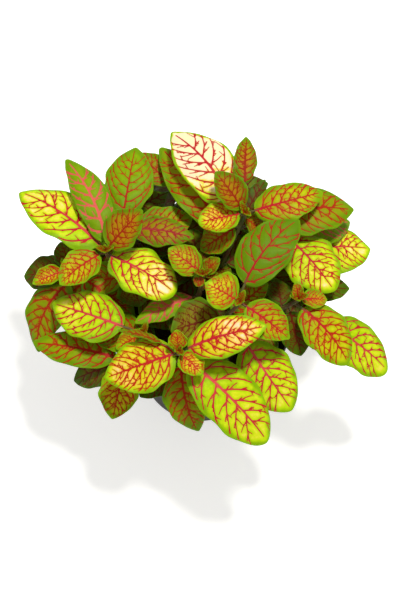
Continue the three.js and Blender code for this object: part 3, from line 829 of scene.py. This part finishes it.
leafSkin = {  # reaches are in mm from the margin or from a vein's side
    "patchScale": 160.0, "mottleScale": 620.0, "grainScale": 2600.0, "underScale": 900.0,
    "veinEdge": (0.08, -0.06), "heartFrom": 0.3, "heartTo": 5.4, "heartGrows": 2.1, "heartPatches": 2.4,
    "lengthwise": (0.05, 0.75), "toTip": (0.52, 1.02), "glowPatches": 0.5, "glowMottle": 0.45,
    "inner": (0.38, 1.0), "cell": (0.1, 1.3), "cellGlow": (0.83, 1.09),
    "rim": (1.25, 0.25), "rimPatches": 0.9, "rimShare": 0.8, "rimGlow": (0.3, 1.1), "underRim": (2.2, 0.2),
    "near": (1.3, 0.0), "nearBlush": (0.55, 1.0), "shadeAndAgeShare": 0.75, "shadeAndAgePatches": 0.8, "shadeAndAgeOnVeins": 1.7,
    "plainVein": 0.3, "hueByWidth": 0.55, "huePatches": 0.25, "groove": (0.35, -0.2), "grooveGrain": 0.5,
}


def leafWires(wire):
    place, offset = wire.attribute("leafPlace"), wire.attribute("veinOffset")
    x, y, halfVein = offset.part(0), offset.part(1), offset.part(2)
    distance = (x * x + y * y).root().most(wire.attribute("veinGuard", "Fac"))
    fromVein = distance - halfVein
    return place.part(0), place.part(2), halfVein, fromVein, fromVein.between(*leafSkin["veinEdge"])


def leafTop(wire):
    skin = leafSkin
    along, margin, halfVein, fromVein, vein = leafWires(wire)
    tone, hue = wire.attribute("leafTone"), wire.attribute("veinHue", "Fac")
    heart, blush, depth = tone.part(0), tone.part(1), tone.part(2)
    patches = wire.noise(skin["patchScale"], detail=3.0) - 0.5
    mottle = wire.noise(skin["mottleScale"]) - 0.5
    heartTo = skin["heartTo"] - heart * skin["heartGrows"]
    inner = (margin + patches * skin["heartPatches"]).between(skin["heartFrom"], heartTo)
    lengthwise = along.between(*skin["lengthwise"]).spread(*skin["toTip"])
    uneven = lengthwise + patches * skin["glowPatches"] + mottle * skin["glowMottle"]
    cell = fromVein.between(*skin["cell"]).spread(*skin["cellGlow"])
    # the heart's pale cream end is partly the leaf's own colour, partly painted highlight
    interior = (heart * inner.spread(*skin["inner"]) * uneven * cell).ramp(leafColours["heart"])
    rimShare = (margin + patches * skin["rimPatches"]).between(*skin["rim"]) * skin["rimShare"]
    face = (rimShare * heart.spread(*skin["rimGlow"])).mix(interior, leafColours["rim"])
    near = fromVein.between(*skin["near"]).spread(*skin["nearBlush"])
    face = (blush * inner * near).mix(face, leafColours["blush"])
    # painted shade: leaves inside the plant, and old ones, are darkened towards dark olive, their veins
    # towards dark red
    face = (depth * (patches * skin["shadeAndAgePatches"] + skin["shadeAndAgeShare"])).mix(face, leafColours["shadeAndAge"])
    veinHue = hue + (halfVein - skin["plainVein"]) * skin["hueByWidth"] + patches * skin["huePatches"]
    veinColour = (depth * skin["shadeAndAgeOnVeins"]).mix(veinHue.ramp(leafColours["hues"]), leafColours["veinShadeAndAge"])
    colour = vein.mix(face, veinColour)
    grain = wire.noise(skin["grainScale"]) * skin["grooveGrain"]
    bump = wire.bump(0.5, 0.12, (1 - fromVein.between(*skin["groove"])) + grain)
    return colour, 0.48 + patches * 0.12 + vein * 0.08, bump


def leafUnder(wire):
    _, margin, _, _, vein = leafWires(wire)
    grain = wire.noise(leafSkin["underScale"], detail=3.0)
    face = (margin.between(*leafSkin["underRim"]) * 0.6).mix(leafColours["under"], leafColours["rim"])
    face = grain.spread(-0.2, 0.3).mix(face, leafColours["underGrain"])
    colour = (vein * 0.6).mix(face, leafColours["underVein"])
    bump = wire.bump(0.6, 0.15, vein + grain * 0.6)
    return colour, grain.spread(0.55, 0.7), bump


def stemSkin(wire):
    patches, grain = wire.noise(220.0, detail=3.0), wire.noise(1800.0)
    colour = patches.ramp({0.3: (66, 86, 14), 0.5: (88, 78, 26), 0.7: (108, 56, 30)})
    bump = wire.bump(0.5, 0.15, grain)
    return colour, grain.spread(0.5, 0.7), bump


def hairSkin(wire):
    patches = wire.noise(500.0)
    colour = patches.ramp({0.35: (200, 182, 132), 0.65: (156, 118, 66)})
    return colour, patches.spread(0.4, 0.7)


# ---- pot ----

pot = {
    "height": 78, "topRadius": 45, "baseRadius": 32, "wall": 1.5, "floor": 2, "rimHeight": 9, "rimStep": 1.4,
    "lip": 0.6, "crease": 0.4, "rimUnder": 0.3, "rings": [14, 40], "innerRing": 20, "sides": 160, "sharp": 35,
    # radius and height, from the base's outer edge and from the rim's
    "foot": [(-5, 0), (-4.4, 0.5), (-3.4, 0.5), (-2.8, 0), (-0.8, 0), (0, 0.9)],
    "rim": [(-0.3, -7.6), (0, -7.1), (0, -1.9), (-0.15, -1.7), (-0.15, -1.5), (0, -1.3), (0, -0.6),
            (-0.6, 0)],
    "holes": 8, "holeRadius": 3.5, "holeRing": 21, "holeSides": 32, "drill": 8,
}


def wallRadius(z):  # the outer side of the tapered wall
    return pot["baseRadius"] + (pot["topRadius"] - pot["rimStep"] - pot["baseRadius"]) * z / pot["height"]


def turned(profile, sides, start=0):  # a body round the z axis from a line of (radius, height)
    bm = bmesh.new()
    x, y = math.cos(start) * mm, math.sin(start) * mm
    line = [bm.verts.new((r * x, r * y, z * mm)) for r, z in profile]
    for a, b in zip(line, line[1:]):
        bm.edges.new((a, b))
    bmesh.ops.spin(bm, geom=bm.verts[:] + bm.edges[:], cent=(0, 0, 0), axis=(0, 0, 1), angle=2 * math.pi,
                   steps=sides, use_merge=True)
    bmesh.ops.remove_doubles(bm, verts=bm.verts, dist=touching["turned"] * mm)
    bmesh.ops.recalc_face_normals(bm, faces=bm.faces)
    return bm


def potProfile():
    height, floor, thick, lip, crease = (pot[key] for key in ("height", "floor", "wall", "lip", "crease"))
    rimFoot, inner, low = height - pot["rimHeight"], wallRadius(height) - thick, wallRadius(floor) - thick
    foot = [(pot["baseRadius"] + r, z) for r, z in pot["foot"]]
    side = [(wallRadius(z), z) for z in pot["rings"] + [rimFoot - crease]]
    rim = [(pot["topRadius"] + r, height + z) for r, z in pot["rim"]]
    ring = pot["innerRing"]
    inside = [(inner + lip, height), (inner, height - lip), (wallRadius(ring) - thick, ring),
              (low, floor + crease), (low - crease, floor), (0, floor)]
    return [(0, 0)] + foot + side + [(wallRadius(rimFoot) + pot["rimUnder"], rimFoot)] + rim + inside


def buildPot(finishes):
    start = math.pi / pot["sides"]  # so that no spoke of the floor meets a corner of a hole
    body = objectOf(meshOf(turned(potProfile(), pot["sides"], start), "potBody"), "nurseryPot")
    bm = bmesh.new()
    radius = pot["holeRadius"] * mm
    for i in range(pot["holes"]):
        angle = 2 * math.pi * i / pot["holes"]
        place = Vector((pot["holeRing"] * math.cos(angle), pot["holeRing"] * math.sin(angle), 0)) * mm
        bmesh.ops.create_cone(bm, cap_ends=True, segments=pot["holeSides"], radius1=radius, radius2=radius,
                              depth=pot["drill"] * mm, matrix=Matrix.Translation(place))
    drill = objectOf(meshOf(bm, "holes"), "drill")
    cut = body.modifiers.new("holes", "BOOLEAN")
    cut.object = drill
    cut.solver = "EXACT"
    drilled = finished(body)
    body.modifiers.clear()
    body.data = dress(smooth(drilled), finishes["pot"])
    bpy.data.objects.remove(drill)
    body.data.set_sharp_from_angle(angle=math.radians(pot["sharp"]))
    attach(body, "root")
    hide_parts("pot")


def potSkin(wire):
    grain, clouds = wire.noise(2400.0), wire.noise(45.0, detail=6.0, roughness=0.65)
    low = wire.spots().part(2).between(0.03, 0.0)  # dusty towards the foot
    dust = (clouds - 0.5).between(0.02, 0.25) * low.spread(0.35, 1.0)
    colour = dust.mix((15, 14, 13), (58, 50, 40))
    rough = 0.55 + dust * 0.25 + grain * 0.08
    return colour, rough, wire.bump(0.4, 0.08, grain)


# ---- soil ----

soil = {
    "node": "soil", "seed": 5, "sides": 96, "gap": 1.8, "top": 66.0, "dome": 2, "levels": 9,
    "ringStep": 2.0, "innermost": 0.5, "lumps": 1.3, "lumpScale": 0.16, "fine": 0.6, "fineScale": 0.55,
}

bits = {  # crumbs and grits: (how many, sizes, finish)
    "crumbs": (420, (0.5, 1.9), "soil"), "grits": (46, (0.8, 2.0), "grit"),
    "spread": 0.5, "shape": ((0.6, 1.3), (0.6, 1.1), (0.4, 0.8)), "radius": 0.6, "sunk": 0.1, "clear": 1.5,
}


def soilRadius(z):  # inside the pot's wall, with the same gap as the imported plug
    return wallRadius(z) - soil["gap"]


def soilHeight(r):  # a little higher in the middle
    return soil["top"] + soil["dome"] * (1 - (r / soilRadius(soil["top"])) ** 2)


def addBit(bm, draw, sizes):
    angle = draw.uniform(0, 2 * math.pi)
    r = (soilRadius(soil["top"]) - bits["clear"]) * math.sqrt(draw.random())
    size = draw.uniform(*sizes) * draw.uniform(bits["spread"], 1)
    z = soilHeight(r) - bits["sunk"] * size
    place = Matrix.Translation(Vector((r * math.cos(angle), r * math.sin(angle), z)) * mm)
    turn = draw.uniform(0, math.pi)
    spin = Matrix.Rotation(turn, 4, Vector((draw.random(), draw.random(), 1)).normalized())
    shape = Matrix.Diagonal((*(draw.uniform(*ends) for ends in bits["shape"]), 1))
    radius = size * bits["radius"] * mm
    bmesh.ops.create_icosphere(bm, subdivisions=1, radius=radius, matrix=place @ spin @ shape)


def buildSoil(finishes):
    low, high = (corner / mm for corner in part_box(soil["node"]))
    top, foot = soil["top"], low.z
    draw = random.Random(soil["seed"])
    side = [(soilRadius(z), z) for z in np.linspace(foot, top, soil["levels"])]
    across = np.arange(soilRadius(top) - soil["ringStep"], soil["innermost"], -soil["ringStep"])
    bm = turned([(0, foot)] + side + [(r, soilHeight(r)) for r in [*across, 0]], soil["sides"])
    for vertex in bm.verts:
        place = vertex.co / mm
        if place.z > top - touching["turned"]:
            rise = soil["lumps"] * noise.noise(place * soil["lumpScale"])
            rise += soil["fine"] * noise.noise(place * soil["fineScale"])
            vertex.co.z += min(rise, high.z - place.z) * mm
    parts = [objectOf(dress(smooth(meshOf(bm, "soilBody")), finishes["soil"]), "peat")]
    for name in ("crumbs", "grits"):
        count, sizes, key = bits[name]
        bm = bmesh.new()
        for _ in range(count):
            addBit(bm, draw, sizes)
        parts.append(objectOf(dress(meshOf(bm, name), finishes[key]), name))
    piece = joined(parts)
    piece.name = "peat"
    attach(piece, "root")
    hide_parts(soil["node"])


def soilSkin(wire):
    clods = wire.noise(420.0, detail=5.0, roughness=0.7)
    fibres = wire.node("ShaderNodeTexVoronoi", None, {"Vector": wire.spots(), "Scale": 900.0})
    colour = (clods * 0.75 + fibres * 0.3).ramp(
        {0.25: (18, 12, 8), 0.5: (46, 31, 21), 0.72: (78, 54, 36), 0.9: (120, 90, 62)})
    bump = wire.bump(0.9, 0.6, clods + fibres * 0.4)
    return colour, clods.spread(0.75, 1.0), bump


def gritSkin(wire):
    pits = wire.noise(1500.0, detail=3.0)
    colour = pits.ramp({0.35: (176, 168, 150), 0.6: (234, 230, 220)})
    bump = wire.bump(0.7, 0.2, pits)
    return colour, pits.spread(0.8, 0.95), bump


# ---- making the plant ----

flesh = {"Subsurface_Weight": 0.12, "Subsurface_Radius": (0.6, 1.0, 0.15), "Subsurface_Scale": 1.2 * mm}
stemFlesh = {"Subsurface_Weight": 0.1, "Subsurface_Scale": 1.0 * mm}
finishes = {
    "leafTop": newFinish("leafTop", leafTop, Specular_IOR_Level=0.08, **flesh),
    "leafUnder": newFinish("leafUnder", leafUnder, Specular_IOR_Level=0.35, **flesh),
    "stem": newFinish("stem", stemSkin, **stemFlesh),
    "hair": newFinish("hair", hairSkin, Specular_IOR_Level=0.3),
    "soil": newFinish("soil", soilSkin, Specular_IOR_Level=0.25),
    "grit": newFinish("grit", gritSkin, Specular_IOR_Level=0.4),
    "pot": newFinish("potPlastic", potSkin, Specular_IOR_Level=0.12),
}
report("finishes")

for number, (name, shoot) in enumerate(shoots.items()):
    leaves = [leafAt(shoot, *row) for row in shoot["leaves"]] + list(tipLeaves(shoot, number, "buds"))
    extra = [leafAt(shoot, *row) for row in innerLeaves.get(name, [])]
    buildShoot(name, shoot, leaves, extra + list(tipLeaves(shoot, number, "hearts")), number, finishes)
draws = lowDraws(lowHabit["seed"])
for number, (name, shoot) in enumerate(lowShoots.items()):
    leaves = list(lowLeaves(shoot, draws)) + list(tipLeaves(shoot, number, "buds"))
    buildShoot(name, shoot, leaves, [], number + len(shoots), finishes)
report("shoots")
buildSoil(finishes)
buildPot(finishes)
report("soil and pot")


# ---- floor, light and camera ----

studio = {
    "floorSize": 40.0, "floorColours": ((240, 240, 238), (228, 228, 226)), "floorGlow": 0.55,
    "key": {"place": (0.22, 0.26, 1.43), "size": 0.2, "power": 17, "colour": (1.0, 0.97, 0.92)},
    "fill": {"place": (-0.7, -0.9, 1.3), "size": 1.2, "power": 3, "colour": (1, 1, 1)},
    "lampTarget": (0, 0, 0.09), "worldColour": (1.0, 0.985, 0.95, 1), "worldLight": 0.34,
}

view = {"target": (0, 0, 95), "elevation": 68, "distance": 600, "lens": 75, "sensor": 36, "clip": (0.01, 20)}


def floorSkin(wire):
    cloud = wire.noise(3.0)
    return (cloud * 0.15).mix(*studio["floorColours"]), cloud.spread(0.7, 0.8)


def buildFloor():
    bm = bmesh.new()
    bmesh.ops.create_grid(bm, x_segments=1, y_segments=1, size=studio["floorSize"] / 2)
    glow = {"Emission_Color": (1, 1, 1, 1), "Emission_Strength": studio["floorGlow"]}
    finish = newFinish("paleFloor", floorSkin, Specular_IOR_Level=0.2, **glow)
    floor = objectOf(dress(meshOf(bm, "floor"), finish), "floor")


def addLight(name):
    habit = studio[name]
    lamp = bpy.data.lights.new(name, "AREA")
    lamp.shape, lamp.size, lamp.energy, lamp.color = "DISK", habit["size"], habit["power"], habit["colour"]
    holder = objectOf(lamp, name)
    holder.location = habit["place"]
    aim = Vector(studio["lampTarget"]) - Vector(habit["place"])
    holder.rotation_euler = aim.to_track_quat("-Z", "Y").to_euler()


def buildCamera():
    tilt = math.radians(view["elevation"])
    away = Vector((0, -math.cos(tilt), math.sin(tilt)))
    lens = bpy.data.cameras.new("camera")
    lens.lens, lens.sensor_width = view["lens"], view["sensor"]
    lens.clip_start, lens.clip_end = view["clip"]
    camera = objectOf(lens, "camera")
    camera.location = (Vector(view["target"]) + away * view["distance"]) * mm
    camera.rotation_euler = (-away).to_track_quat("-Z", "Y").to_euler()
    bpy.context.scene.camera = camera


buildFloor()
addLight("key")
addLight("fill")
world = bpy.data.worlds.new("studio")
world.use_nodes = True
sky = world.node_tree.nodes["Background"]
sky.inputs["Color"].default_value = studio["worldColour"]
sky.inputs["Strength"].default_value = studio["worldLight"]
bpy.context.scene.world = world
bpy.context.scene.view_settings.view_transform = "Standard"
buildCamera()
report("studio")
